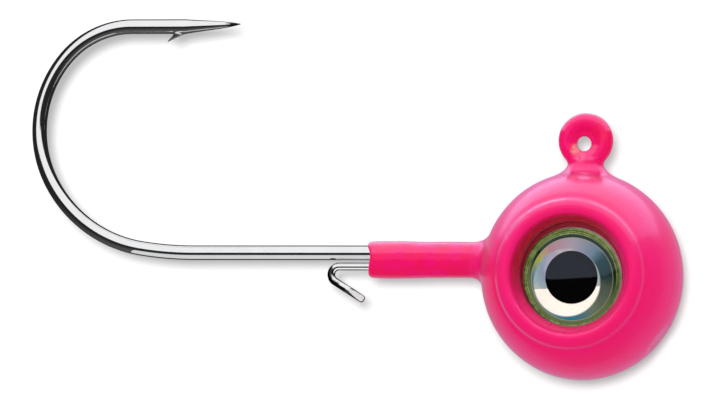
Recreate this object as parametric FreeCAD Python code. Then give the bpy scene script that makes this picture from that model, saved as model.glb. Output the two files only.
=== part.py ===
"""Ball-headed fishing jig: hook, keeper wire, cast head, colour coat and two domed eyes. Millimetres.

The part stands as it hangs in the water: +Z is up through the line tie, +X points from the hook's
bend to the head, and the hook, the keeper and the line tie lie in the plane y = 0, about which the
whole part is symmetric. The shapes are drawn about the middle of the ball and moved at the end, so
that the origin is the centre of the line tie's hole.
"""

import FreeCAD, Part
import math
import os
from FreeCAD import Vector

# Hook: one length of round wire, from the line tie to the point
WIRE_RADIUS = 0.45
SHANK_Z = 1.40
SHANK_END_X = -24.3
HEEL_RADIUS = 1.6
BEND = ((21.0, 9.3), (7.8, 52.0), (6.9, 68.2), (5.5, 50.5))
LEG_END_X = -25.0
POINT_LENGTH = 3.5
POINT_RISE = 2.4
POINT_TAPER = ((0.0, 1.0), (0.15, 0.84), (0.43, 0.65), (0.72, 0.38), (0.88, 0.16), (1.0, 0.02))
BARB_OUTLINE = ((0.30, -0.30), (-0.50, -0.30), (-1.10, -0.93), (-0.98, -0.96), (-0.30, -0.58))
BARB_ROOT_WIDTH = 0.56
BARB_TIP_WIDTH = 0.12

# Line tie: the ring bent at the end of the hook's wire
RING_X = 0.18
RING_Z = 8.27
RING_RADIUS = 1.15

# Keeper: a thin wire that holds a soft bait on the collar
KEEPER_RADIUS = 0.24
KEEPER_Z = 0.56
KEEPER_BURIED_X = -7.5
KEEPER_BEND_X = -15.19
KEEPER_BEND_RADIUS = 0.50
KEEPER_TURN = 148.0
KEEPER_ARM = 2.15
KEEPER_FLAT_SLOPE = 0.185
KEEPER_FLAT_TILT = 0.30
KEEPER_FLAT_REACH = 1.50

# Head, measured over its colour coat
BALL_RADIUS = 6.20
BALL_HALF_HEIGHT = 6.38
COLLAR_RADIUS = 1.125
COLLAR_Z = 0.97
COLLAR_END_X = -13.35
COLLAR_END_ROUND = 0.40
COLLAR_FILLET = 0.80
NECK_WIDTH = 2.09
NECK_FOOT_THICKNESS = 2.00
NECK_TOP_THICKNESS = 1.44
NECK_TOP_Z = 7.30
NECK_FILLET = 0.45
COLLAR_FOOT_REACH = 0.6
NECK_FOOT_REACH = 0.5
COLLAR_RIM_REACH = 0.1
GATE_ANGLE = -37.0
GATE_RADIUS = 0.92

# Eye socket and the raised lid round it, as radius and distance from the plane y = 0
SOCKET_FLOOR = (3.22, 3.05)
SOCKET_FLARE = (3.22, 3.72)
LID_INNER = (3.62, 4.60)
LID_CREST = (3.88, 4.75)
LID_CREASE = (4.47, 4.27)
CREASE_SLOPE = 35.0

# Colour coat
COAT = 0.10
WEB_RADIUS = 0.90
WEB_THICKNESS = 0.50
HOLE_RADIUS = 0.45
HOLE_X = 0.09
HOLE_Z = 8.09

# Eyes: each is a stuck-on disc of printed foil under a clear dome
EYE_DROP = 0.20
EYE_RADIUS = 3.00
ADHESIVE_RADIUS = 2.94
ADHESIVE_THICKNESS = 0.12
FOIL_RADIUS = 2.98
FOIL_THICKNESS = 0.08
PUPIL_RADIUS = 1.525
PUPIL_THICKNESS = 0.04
LENS_WALL = 0.42
DOME_RISE = 0.85

# How far a cut reaches beyond the surface it starts from
CUT_DEPTH = 2.0


def in_plane(x, z):
    """A point or direction in the plane y = 0."""
    return Vector(x, 0, z)


def heading(degrees):
    """The unit direction in the plane y = 0 at this angle from +X towards +Z."""
    return in_plane(math.cos(math.radians(degrees)), math.sin(math.radians(degrees)))


def bent_path(start, degrees, steps):
    """A path of straight runs and tangent bends from start, first heading at this angle.

    A step is (length, 0) for a run or (radius, turn in degrees) for a bend, where a positive turn
    is from +X towards +Z.
    """
    edges = []
    here = start
    for size, turn in steps:
        if turn == 0:
            ahead = here + heading(degrees) * size
            edges.append(Part.LineSegment(here, ahead).toShape())
        else:
            inward = degrees + math.copysign(90, turn)
            centre = here + heading(inward) * size
            halfway = centre - heading(inward + turn / 2) * size
            ahead = centre - heading(inward + turn) * size
            edges.append(Part.Arc(here, halfway, ahead).toShape())
            degrees += turn
        here = ahead
    return Part.Wire(edges)


def path_end(path):
    """The last point of a bent path."""
    return path.Edges[-1].lastVertex().Point


def round_wire(path, degrees, radius):
    """A round wire along a path that starts with this heading."""
    start = path.Edges[0].firstVertex().Point
    section = Part.Wire(Part.makeCircle(radius, start, heading(degrees)))
    return path.makePipeShell([section], True, False)


def plate(corner, outline, width):
    """A flat plate centred on the plane y = 0, its outline in x and z from this corner."""
    corners = [corner + Vector(x, -width / 2, z) for x, z in outline]
    face = Part.Face(Part.makePolygon(corners + corners[:1]))
    return face.extrude(Vector(0, width, 0))


def edges_near(shape, point, reach):
    """The edges of a shape whose middle lies within reach of a point."""
    return [edge for edge in shape.Edges if edge.BoundBox.Center.distanceToPoint(point) < reach]


def hook_point(leg_end):
    """The ground point: a needle that rises a little from the line of its leg."""
    along = heading(POINT_RISE)
    rings = []
    for share, thickness in POINT_TAPER:
        centre = leg_end + along * (share * POINT_LENGTH)
        rings.append(Part.Wire(Part.makeCircle(thickness * WIRE_RADIUS, centre, Vector(1, 0, 0))))
    return Part.makeLoft(rings, True, True)


def barb(leg_end):
    """The barb cut up from the inside of the leg, narrower at its tip."""
    body = plate(leg_end, BARB_OUTLINE, BARB_ROOT_WIDTH)
    box = body.BoundBox
    plan = (
        (box.XMax, BARB_ROOT_WIDTH / 2),
        (box.XMin, BARB_TIP_WIDTH / 2),
        (box.XMin, -BARB_TIP_WIDTH / 2),
        (box.XMax, -BARB_ROOT_WIDTH / 2),
    )
    corners = [Vector(x, y, box.ZMin) for x, y in plan]
    face = Part.Face(Part.makePolygon(corners + corners[:1]))
    return body.common(face.extrude(Vector(0, 0, box.ZLength)))


def line_tie_ring(wire_radius):
    """The line tie's ring, at this wire radius."""
    return Part.makeTorus(RING_RADIUS, wire_radius, in_plane(RING_X, RING_Z), Vector(0, 1, 0))


def hook():
    """The whole hook: line tie, buried heel, shank, bend, leg, barb and point."""
    neck_end = in_plane(RING_X, RING_Z - RING_RADIUS)
    neck_run = neck_end.z - SHANK_Z - HEEL_RADIUS
    shank_run = RING_X - HEEL_RADIUS - SHANK_END_X
    bends = [(radius, -turn) for radius, turn in BEND]
    bend_end = path_end(bent_path(in_plane(SHANK_END_X, SHANK_Z), 180, bends))
    steps = [(neck_run, 0), (HEEL_RADIUS, -90), (shank_run, 0)] + bends
    steps.append((LEG_END_X - bend_end.x, 0))
    path = bent_path(neck_end, -90, steps)
    leg_end = path_end(path)
    wire = round_wire(path, -90, WIRE_RADIUS)
    whole = wire.fuse([line_tie_ring(WIRE_RADIUS), hook_point(leg_end), barb(leg_end)])
    return whole.removeSplitter()


def keeper_wire():
    """The keeper: along the shank's underside, round its bend, and back to an end ground flat."""
    run = KEEPER_BURIED_X - KEEPER_BEND_X
    steps = [(run, 0), (KEEPER_BEND_RADIUS, KEEPER_TURN), (KEEPER_ARM, 0)]
    path = bent_path(in_plane(KEEPER_BURIED_X, KEEPER_Z), 180, steps)
    wire = round_wire(path, 180, KEEPER_RADIUS)
    arm = heading(180 + KEEPER_TURN)
    over = heading(270 + KEEPER_TURN)
    facing = Vector(0, -1, 0) + arm * KEEPER_FLAT_SLOPE + over * KEEPER_FLAT_TILT
    waste = Part.makeCylinder(KEEPER_FLAT_REACH, 2 * KEEPER_RADIUS, path_end(path), facing)
    return wire.cut(waste)


def ball(skin):
    """The ball, this far inside its outer surface."""
    half_height = BALL_HALF_HEIGHT - skin
    radius = BALL_RADIUS - skin
    outline = Part.Ellipse(Vector(0, 0, half_height), Vector(radius, 0, 0), Vector(0, 0, 0))
    half = Part.ArcOfEllipse(outline, -math.pi, 0).toShape()
    if half.CenterOfMass.x < 0:
        half = Part.ArcOfEllipse(outline, 0, math.pi).toShape()
    ends = [vertex.Point for vertex in half.Vertexes]
    face = Part.Face(Part.Wire([half, Part.makeLine(ends[1], ends[0])]))
    return face.revolve(Vector(0, 0, 0), Vector(0, 0, 1), 360)


def eye_side_cutter(skin, side):
    """What is cut from one side of the ball to leave the socket, its lid and the crease."""
    far = BALL_RADIUS + CUT_DEPTH
    floor_radius, floor_depth = SOCKET_FLOOR
    crest_radius, crest_height = LID_CREST
    crease_radius, crease_height = LID_CREASE
    outward = far - crease_height
    points = [
        (0, floor_depth - skin),
        (floor_radius + skin, floor_depth - skin),
        (SOCKET_FLARE[0] + skin, SOCKET_FLARE[1]),
        (LID_INNER[0] + skin, LID_INNER[1] - skin / 2),
        (crest_radius, crest_height - skin),
        (crease_radius - skin / 2, crease_height - skin),
        (crease_radius + outward / math.tan(math.radians(CREASE_SLOPE)), far),
        (0, far),
    ]
    corners = [Vector(radius, side * depth, 0) for radius, depth in points]
    edges = [
        Part.makeLine(corners[0], corners[1]),
        Part.makeLine(corners[1], corners[2]),
        Part.makeLine(corners[2], corners[3]),
        Part.Arc(corners[3], corners[4], corners[5]).toShape(),
        Part.makeLine(corners[5], corners[6]),
        Part.makeLine(corners[6], corners[7]),
        Part.makeLine(corners[7], corners[0]),
    ]
    face = Part.Face(Part.Wire(edges))
    return face.revolve(Vector(0, 0, 0), Vector(0, 1, 0), 360)


def gate_cutter(skin):
    """What is cut from the ball at the flat where the casting was broken off its gate."""
    out = heading(GATE_ANGLE)
    reach = math.sqrt(BALL_RADIUS**2 - GATE_RADIUS**2) - skin
    return Part.makeCylinder(2 * GATE_RADIUS, CUT_DEPTH, out * reach, out)


def neck(skin):
    """The neck between ball and line tie, which thins towards the ring."""
    ovals = []
    for thickness, height in ((NECK_FOOT_THICKNESS, 0), (NECK_TOP_THICKNESS, NECK_TOP_Z - skin)):
        oval = Part.Ellipse(Vector(0, 0, 0), NECK_WIDTH / 2 - skin, thickness / 2 - skin)
        oval.Center = in_plane(RING_X, height)
        ovals.append(Part.Wire(oval.toShape()))
    return Part.makeLoft(ovals, True, True)


def head_body(skin):
    """Ball, collar and neck as one shape, this far inside their outer surface."""
    collar_end = COLLAR_END_X + skin
    collar = Part.makeCylinder(
        COLLAR_RADIUS - skin, -collar_end, in_plane(collar_end, COLLAR_Z), Vector(1, 0, 0)
    )
    body = ball(skin).fuse([collar, neck(skin)]).removeSplitter()
    collar_foot = in_plane(-BALL_RADIUS, COLLAR_Z)
    body = body.makeFillet(COLLAR_FILLET + skin, edges_near(body, collar_foot, COLLAR_FOOT_REACH))
    neck_foot = in_plane(RING_X, BALL_HALF_HEIGHT)
    body = body.makeFillet(NECK_FILLET + skin, edges_near(body, neck_foot, NECK_FOOT_REACH))
    rim = in_plane(collar_end, COLLAR_Z)
    body = body.makeFillet(COLLAR_END_ROUND - skin, edges_near(body, rim, COLLAR_RIM_REACH))
    cutters = [eye_side_cutter(skin, side) for side in (-1, 1)] + [gate_cutter(skin)]
    return body.cut(cutters)


def head_casting(steel):
    """The lead-alloy casting, with room for the hook and the keeper that it was cast round."""
    return head_body(COAT).cut(steel)


def colour_coat(casting, steel):
    """The baked paint over the casting and the line tie, with the hole left in it for the line."""
    middle = in_plane(HOLE_X, HOLE_Z)
    web = Part.makeCylinder(
        WEB_RADIUS,
        WEB_THICKNESS,
        in_plane(RING_X, RING_Z) - Vector(0, WEB_THICKNESS / 2, 0),
        Vector(0, 1, 0),
    )
    near_side = middle - Vector(0, CUT_DEPTH, 0)
    hole = Part.makeCylinder(HOLE_RADIUS, 2 * CUT_DEPTH, near_side, Vector(0, 1, 0))
    outside = head_body(0).fuse([line_tie_ring(WIRE_RADIUS + COAT), web]).removeSplitter()
    return outside.cut([hole, casting] + steel)


def eye_disc(radius, near, far, side):
    """A disc on the eye's axis between two distances from the plane y = 0."""
    centre = Vector(0, side * near, -EYE_DROP)
    return Part.makeCylinder(radius, far - near, centre, Vector(0, side, 0))


def eye_dome(near, wall_top, side):
    """The clear lens: a short straight wall under a dome that is part of a sphere."""
    top = wall_top + DOME_RISE
    outline = [(0, near), (EYE_RADIUS, near), (EYE_RADIUS, wall_top), (0, top)]
    dome_radius = (EYE_RADIUS**2 + DOME_RISE**2) / (2 * DOME_RISE)
    half_angle = math.asin(EYE_RADIUS / dome_radius) / 2
    halfway = (dome_radius * math.sin(half_angle), top - dome_radius * (1 - math.cos(half_angle)))
    corners = [Vector(radius, side * depth, -EYE_DROP) for radius, depth in outline]
    shoulder = Vector(halfway[0], side * halfway[1], -EYE_DROP)
    edges = [
        Part.makeLine(corners[0], corners[1]),
        Part.makeLine(corners[1], corners[2]),
        Part.Arc(corners[2], shoulder, corners[3]).toShape(),
        Part.makeLine(corners[3], corners[0]),
    ]
    face = Part.Face(Part.Wire(edges))
    return face.revolve(in_plane(0, -EYE_DROP), Vector(0, 1, 0), 360)


def eye_pieces(name, side):
    """One eye's adhesive, foil, printed pupil and lens, stacked outward from the socket's floor."""
    floor = SOCKET_FLOOR[1]
    foil = floor + ADHESIVE_THICKNESS
    face = foil + FOIL_THICKNESS
    pupil = eye_disc(PUPIL_RADIUS, face, face + PUPIL_THICKNESS, side)
    return {
        name + "_eye_adhesive": eye_disc(ADHESIVE_RADIUS, floor, foil, side),
        name + "_eye_foil": eye_disc(FOIL_RADIUS, foil, face, side),
        name + "_eye_pupil": pupil,
        name + "_eye_lens": eye_dome(face, face + LENS_WALL, side).cut(pupil),
    }


def build():
    """Every node of the part by name, with the origin at the centre of the line tie's hole."""
    steel = [hook(), keeper_wire()]
    casting = head_casting(steel)
    nodes = {
        "hook": steel[0],
        "keeper_wire": steel[1],
        "head_casting": casting,
        "colour_coat": colour_coat(casting, steel),
    }
    nodes.update(eye_pieces("right", -1))
    nodes.update(eye_pieces("left", 1))
    for shape in nodes.values():
        shape.translate(in_plane(-HOLE_X, -HOLE_Z))
    return nodes


os.makedirs("parts", exist_ok=True)
for node, shape in build().items():
    shape.exportStep("parts/" + node + ".step")
    print(node, "%.3f cubic mm" % shape.Volume)
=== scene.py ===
import math

import bpy
import numpy as np
from mathutils import Matrix, Vector, noise


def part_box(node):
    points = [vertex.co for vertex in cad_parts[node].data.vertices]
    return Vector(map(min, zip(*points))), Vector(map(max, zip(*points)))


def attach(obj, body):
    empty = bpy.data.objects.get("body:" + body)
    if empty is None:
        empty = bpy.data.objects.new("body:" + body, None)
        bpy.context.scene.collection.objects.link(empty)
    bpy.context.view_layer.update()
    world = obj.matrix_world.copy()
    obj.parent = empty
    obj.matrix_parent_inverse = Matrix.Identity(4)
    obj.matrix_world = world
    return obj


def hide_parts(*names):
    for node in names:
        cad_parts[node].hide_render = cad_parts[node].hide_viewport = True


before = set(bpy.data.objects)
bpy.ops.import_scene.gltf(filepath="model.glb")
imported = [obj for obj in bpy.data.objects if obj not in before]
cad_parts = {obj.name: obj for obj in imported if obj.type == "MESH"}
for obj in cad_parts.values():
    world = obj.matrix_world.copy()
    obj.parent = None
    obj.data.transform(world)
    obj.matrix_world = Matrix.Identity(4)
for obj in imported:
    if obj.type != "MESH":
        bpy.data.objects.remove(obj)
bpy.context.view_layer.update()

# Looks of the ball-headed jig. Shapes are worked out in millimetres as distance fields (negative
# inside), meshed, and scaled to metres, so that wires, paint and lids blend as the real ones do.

MM = 0.001


def box_mm(node):
    """Lowest and highest corner of a CAD node in millimetres."""
    return [np.array(corner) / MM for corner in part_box(node)]


# Driving sizes, in millimetres
WIRE = 0.45
COAT = 0.10
BALL = 6.20
BALL_HALF_HEIGHT = 6.38
RING = 1.15
RING_SHIFT = 0.18
COLLAR = 1.125
COLLAR_DROP = 0.43
KEEPER = 0.24

HOOK_LOW, HOOK_HIGH = box_mm("hook")
COAT_LOW, COAT_HIGH = box_mm("colour_coat")
KEEPER_LOW, KEEPER_HIGH = box_mm("keeper_wire")

BALL_X = COAT_HIGH[0] - BALL
BALL_Z = COAT_LOW[2] + BALL_HALF_HEIGHT
RING_CENTRE = np.array([BALL_X + RING_SHIFT, 0, COAT_HIGH[2] - RING - WIRE - COAT])
SHANK_Z = HOOK_LOW[2] + WIRE
COLLAR_Z = SHANK_Z - COLLAR_DROP
COLLAR_END_X = COAT_LOW[0]

# The hook's bend as (radius, turn in degrees), from the shank to the point's leg
BEND = ((21.0, 9.3), (7.8, 52.0), (6.9, 68.2), (5.5, 50.5))
POINT_LENGTH = 3.5
POINT_RISE = 2.4

# The share of the needle that stays full, the terms of its taper, and its tip's radius
NEEDLE_FULL = 0.04
NEEDLE_TAPER = (1.05, 0.95, 0.90)
NEEDLE_TIP = 0.01

HEEL = 1.6
BARB = ((0.30, -0.30), (-0.50, -0.30), (-1.10, -0.93), (-0.98, -0.96), (-0.30, -0.58))


# ---------------------------------------------------------------- distance fields

def smooth_union(a, b, reach):
    """Both shapes, with a fillet about as wide as reach between them."""
    share = np.clip(0.5 + 0.5 * (b - a) / reach, 0, 1)
    return b + (a - b) * share - reach * share * (1 - share)


def smooth_cut(a, b, reach):
    """The first shape without the second, with a rounded edge."""
    return -smooth_union(-a, b, reach)


def smooth_common(a, b, reach):
    """What both shapes share, with a rounded edge."""
    return -smooth_union(-a, -b, reach)


def heading(degrees):
    """The unit direction (x, z) at this angle from +X towards +Z."""
    return np.array([math.cos(math.radians(degrees)), math.sin(math.radians(degrees))])


def in_plane(at):
    """A point (x, z) of the plane y = 0 in space."""
    return np.array([at[0], 0, at[1]])


def run_field(p, start, end, radius):
    """A straight round rod in the plane y = 0."""
    along = end - start
    flat = p[:, [0, 2]] - start
    share = np.clip(flat @ along / (along @ along), 0, 1)
    off = flat - share[:, None] * along
    return np.sqrt((off**2).sum(1) + p[:, 1] ** 2) - radius


def needle_field(p, start, degrees, length, radius):
    """A straight rod that draws to a sharp point, full at first and hollow towards the tip."""
    forward = heading(degrees)
    across = np.array([-forward[1], forward[0]])
    flat = p[:, [0, 2]] - start
    share = np.clip(flat @ forward / length, 0, 1)
    late = share**2 / (share + NEEDLE_FULL)
    first, second, third = NEEDLE_TAPER
    thickness = radius * (1 - first * late + second * late**2 - third * late**3)
    past = np.clip(flat @ forward - length, 0, None) - np.clip(flat @ forward, None, 0)
    return np.sqrt((flat @ across) ** 2 + p[:, 1] ** 2 + past**2) - np.maximum(thickness, NEEDLE_TIP)


def bend_field(p, centre, bend_radius, middle, half_angle, radius):
    """A round rod bent along an arc in the plane y = 0, whose middle lies at this angle."""
    flat = p[:, [0, 2]] - centre
    across = np.array([-math.sin(middle), math.cos(middle)])
    forward = np.array([math.cos(middle), math.sin(middle)])
    u = flat @ forward
    v = flat @ across
    angle = np.clip(np.arctan2(v, u), -half_angle, half_angle)
    off_u = u - bend_radius * np.cos(angle)
    off_v = v - bend_radius * np.sin(angle)
    return np.sqrt(off_u**2 + off_v**2 + p[:, 1] ** 2) - radius


def ring_field(p, centre, ring_radius, radius):
    """A ring round an axis along Y."""
    across = np.hypot(p[:, 0] - centre[0], p[:, 2] - centre[2]) - ring_radius
    return np.hypot(across, p[:, 1]) - radius


class Wire:
    """A round wire bent in the plane y = 0: straight runs and tangent bends from a start."""

    def __init__(self, start, degrees, radius):
        self.here = np.array(start, float)
        self.degrees = degrees
        self.radius = radius
        self.fields = []

    def run(self, length):
        """Adds a straight run."""
        start, end, radius = self.here, self.here + heading(self.degrees) * length, self.radius
        self.fields.append(lambda p: run_field(p, start, end, radius))
        self.here = end
        return self

    def bend(self, bend_radius, turn):
        """Adds a bend; a positive turn is from +X towards +Z."""
        inward = self.degrees + math.copysign(90, turn)
        centre = self.here + heading(inward) * bend_radius
        middle = math.radians(inward + 180 + turn / 2)
        half, radius = math.radians(abs(turn) / 2), self.radius
        self.fields.append(lambda p: bend_field(p, centre, bend_radius, middle, half, radius))
        self.here = centre - heading(inward + turn) * bend_radius
        self.degrees += turn
        return self

    def field(self, p):
        """The distance to the whole wire."""
        return np.min([part(p) for part in self.fields], axis=0)


def hook_wire():
    """The hook's wire from under the line tie to the point, and where its leg ends."""
    shank_x = HOOK_LOW[0] + SHANK_BACK
    wire = Wire((RING_CENTRE[0], RING_CENTRE[2] - RING), -90, WIRE)
    wire.run(wire.here[1] - SHANK_Z - HEEL).bend(HEEL, -90)
    wire.run(wire.here[0] - shank_x)
    for radius, turn in BEND:
        wire.bend(radius, -turn)
    wire.run(LEG_END - wire.here[0])
    leg_end = wire.here
    rise = wire.degrees + POINT_RISE
    wire.fields.append(lambda p: needle_field(p, leg_end, rise, POINT_LENGTH, WIRE))
    return wire, leg_end


SHANK_BACK = 10.27
LEG_END = BALL_X - 25.0


def barb_field(p, leg_end):
    """The barb: a thin sliver whose outline is convex, narrower at its tip."""
    corners = [leg_end + np.array(corner) for corner in BARB]
    middle = sum(corners) / len(corners)
    outline = np.full(len(p), -np.inf)
    for a, b in zip(corners, corners[1:] + corners[:1]):
        side = b - a
        outward = np.array([-side[1], side[0]]) / np.hypot(*side)
        if (middle - a) @ outward > 0:
            outward = -outward
        outline = np.maximum(outline, (p[:, [0, 2]] - a) @ outward)
    lower = corners[0] - corners[3]
    inward = np.array([-lower[1], lower[0]]) / np.hypot(*lower)
    height = np.clip((p[:, [0, 2]] - corners[3]) @ inward, 0, BARB_HEIGHT)
    width = (np.abs(p[:, 1]) - (BARB_EDGE + BARB_SLOPE * height)) * BARB_LEVEL
    return smooth_common(outline, width, BARB_ROUND)


# Half the barb's thickness at its tip, how it thickens, a factor that keeps distances true, and
# the rounding of its edges and its root
BARB_EDGE = 0.09
BARB_SLOPE = 0.42
BARB_HEIGHT = 0.5
BARB_LEVEL = 0.75
BARB_ROUND = 0.06
BARB_ROOT = 0.12


def hook_field():
    """The whole hook: wire, line-tie ring and barb."""
    wire, leg_end = hook_wire()

    def field(p):
        body = wire.field(p)
        body = np.minimum(body, ring_field(p, RING_CENTRE, RING, WIRE))
        return smooth_union(body, barb_field(p, leg_end), BARB_ROOT)

    return field


def keeper_wire():
    """The keeper's wire, its end, the arm's direction and the facing of the flat ground on it."""
    wire = Wire((KEEPER_HIGH[0], KEEPER_HIGH[2] - KEEPER), 180, KEEPER)
    wire.run(KEEPER_HIGH[0] - KEEPER_LOW[0] - KEEPER - KEEPER_BEND)
    wire.bend(KEEPER_BEND, KEEPER_TURN).run(KEEPER_ARM)
    tip = in_plane(wire.here)
    arm = in_plane(heading(wire.degrees))
    over = in_plane(heading(wire.degrees + 90))
    facing = arm * KEEPER_FLAT_SLOPE + over * KEEPER_FLAT_TILT - np.array([0, 1.0, 0])
    return wire, tip, arm, facing / np.linalg.norm(facing)


def keeper_field():
    """The keeper: a run along the shank, a tight bend, and an arm with a flat ground on its end."""
    wire, tip, arm, facing = keeper_wire()
    run, bend, arm_rod = wire.fields

    def field(p):
        end = smooth_common(arm_rod(p), (p - tip) @ arm, KEEPER_END_ROUND)
        end = smooth_common(end, (p - tip) @ facing, KEEPER_FLAT_ROUND)
        return np.minimum(np.minimum(run(p), bend(p)), end)

    return field


KEEPER_BEND = 0.50
KEEPER_TURN = 148.0
KEEPER_ARM = 2.15
KEEPER_FLAT_SLOPE = 0.185
KEEPER_FLAT_TILT = 0.30
KEEPER_END_ROUND = 0.16
KEEPER_FLAT_ROUND = 0.12


def head_field(p):
    """The painted ball with its two sockets, their lids and the mark of the casting gate."""
    q = p - np.array([BALL_X, 0, BALL_Z])
    side = np.abs(q[:, 1])
    reach = np.array([BALL, BALL, BALL_HALF_HEIGHT])
    near = np.linalg.norm(q / reach, axis=1)
    steep = np.linalg.norm(q / reach**2, axis=1)
    ball = near * (near - 1) / np.maximum(steep, 1e-6)
    radial = np.hypot(q[:, 0], q[:, 2])
    body = smooth_common(ball, side - SIDE_PLANE, SIDE_ROUND)
    lid = np.hypot((radial - LID_RADIUS) / LID_STRETCH, side - LID_DEPTH) - LID_THICKNESS
    body = smooth_union(body, lid, LID_FILLET)
    wall = (radial - SOCKET - WALL_SLOPE * np.maximum(side - WALL_FOOT, 0)) * WALL_LEVEL
    socket = np.maximum(wall, SOCKET_FLOOR - side)
    body = smooth_cut(body, socket, SOCKET_ROUND)
    gate = heading(GATE_ANGLE)
    flat = q[:, 0] * gate[0] + q[:, 2] * gate[1] - math.sqrt(BALL**2 - GATE**2)
    body = smooth_common(body, flat, GATE_ROUND)
    seam = SEAM_HEIGHT * np.exp(-((q[:, 1] / SEAM_WIDTH) ** 2))
    return body - seam


# The ball's flat sides, the lids round its sockets, the sockets, the gate's flat and the seam
SIDE_PLANE = 4.22
SIDE_ROUND = 0.45
LID_RADIUS = 3.93
LID_DEPTH = 4.19
LID_THICKNESS = 0.56
LID_STRETCH = 1.15
LID_FILLET = 0.22
SOCKET = 3.22
WALL_FOOT = 3.72
WALL_SLOPE = 0.45
WALL_LEVEL = 0.92
SOCKET_ROUND = 0.30
SOCKET_FLOOR = 3.05
GATE_ANGLE = -37.0
GATE = 0.92
GATE_ROUND = 0.05
SEAM_HEIGHT = 0.018
SEAM_WIDTH = 0.07


def collar_field(p):
    """The bait collar, a little fuller near its end, with a dished end face."""
    drop = p[:, 2] - COLLAR_Z
    back = p[:, 0] - COLLAR_END_X
    full = SWELL * np.exp(-(((back - SWELL_PLACE) / SWELL_LENGTH) ** 2))
    radial = np.hypot(drop, p[:, 1]) - (COLLAR - COLLAR_SLIM + full)
    wave = WAVE * np.sin(WAVE_PITCH[0] * drop + WAVE_PITCH[1] * p[:, 1])
    end = DISH - DISH_FALL * (drop / COLLAR) ** 2 - wave - back
    return smooth_common(smooth_common(radial, end, COLLAR_ROUND), p[:, 0] - BALL_X, 0.2)


# The collar's swelling and its place, and the dish and the waves of its end face
SWELL = 0.045
SWELL_PLACE = 1.9
SWELL_LENGTH = 1.6
COLLAR_SLIM = 0.02
DISH = 0.16
DISH_FALL = 0.26
WAVE = 0.05
WAVE_PITCH = (2.6, 3.1)
COLLAR_ROUND = 0.45


def neck_field(p):
    """The neck that carries the line tie, an oval bar."""
    up = p[:, 2] - BALL_Z
    across = np.hypot((p[:, 0] - RING_CENTRE[0]) / NECK, p[:, 1] / NECK_DEPTH)
    return np.maximum((across - 1) * NECK_LEVEL, np.maximum(up - NECK_TOP, NECK_FOOT - up))


NECK = 1.0
NECK_DEPTH = 0.74
NECK_LEVEL = 0.8
NECK_TOP = 7.1
NECK_FOOT = 3


def coat_field(p):
    """The whole painted body."""
    body = smooth_union(head_field(p), collar_field(p), COLLAR_FILLET)
    body = smooth_union(body, neck_field(p), NECK_FILLET)
    ring = ring_field(p, RING_CENTRE, RING, WIRE + COAT)
    web = np.maximum(
        np.hypot(p[:, 0] - RING_CENTRE[0], p[:, 2] - RING_CENTRE[2]) - WEB,
        np.abs(p[:, 1]) - WEB_HALF,
    )
    loop = smooth_union(ring, web, LOOP_FILLET)
    body = smooth_union(body, loop, LOOP_FILLET)
    hole = np.hypot(p[:, 0], p[:, 2]) - HOLE
    return smooth_cut(body, hole, HOLE_ROUND)


# The web of paint inside the line tie, the hole through it, and the paint's fillets
WEB = 0.9
WEB_HALF = 0.25
HOLE = 0.45
HOLE_ROUND = 0.10
COLLAR_FILLET = 0.85
NECK_FILLET = 0.95
LOOP_FILLET = 0.25


# ---------------------------------------------------------------- meshing

def grid_values(field, axes, step):
    """The field at every point of a grid. Far from the surface only its sign is right."""
    coarse_axes = [axis[:: BLOCK] for axis in axes]
    coarse = np.stack(np.meshgrid(*coarse_axes, indexing="ij"), axis=-1)
    shape = coarse.shape[:3]
    middle = coarse.reshape(-1, 3) + 0.5 * (BLOCK - 1) * step
    rough = field(middle).reshape(shape)
    near = np.abs(rough) < BLOCK * step * NEAR_BLOCKS
    values = np.where(rough < 0, -1.0, 1.0).astype(np.float32)
    for axis in range(3):
        values = np.repeat(values, BLOCK, axis)
        near = np.repeat(near, BLOCK, axis)
    keep = tuple(slice(0, len(axis)) for axis in axes)
    values, near = values[keep].copy(), near[keep]
    at = np.argwhere(near)
    for start in range(0, len(at), CHUNK):
        part = at[start : start + CHUNK]
        points = np.stack([axes[k][part[:, k]] for k in range(3)], axis=1)
        values[tuple(part.T)] = field(points)
    return values


MARGIN = 0.5
BLOCK = 6
NEAR_BLOCKS = 1.35
CHUNK = 400000
PASSES = 3


def slope(field, points, step):
    """The field's unit gradient at points."""
    out = np.empty_like(points)
    for axis in range(3):
        nudge = np.zeros(3)
        nudge[axis] = step
        out[:, axis] = field(points + nudge) - field(points - nudge)
    return out / np.maximum(np.linalg.norm(out, axis=1, keepdims=True), 1e-9)


def cell_corners(values, shape):
    """The eight corner values of every cell, one array for each corner."""
    nx, ny, nz = shape
    return {
        (i, j, k): values[i : i + nx, j : j + ny, k : k + nz]
        for i in (0, 1) for j in (0, 1) for k in (0, 1)
    }


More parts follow.
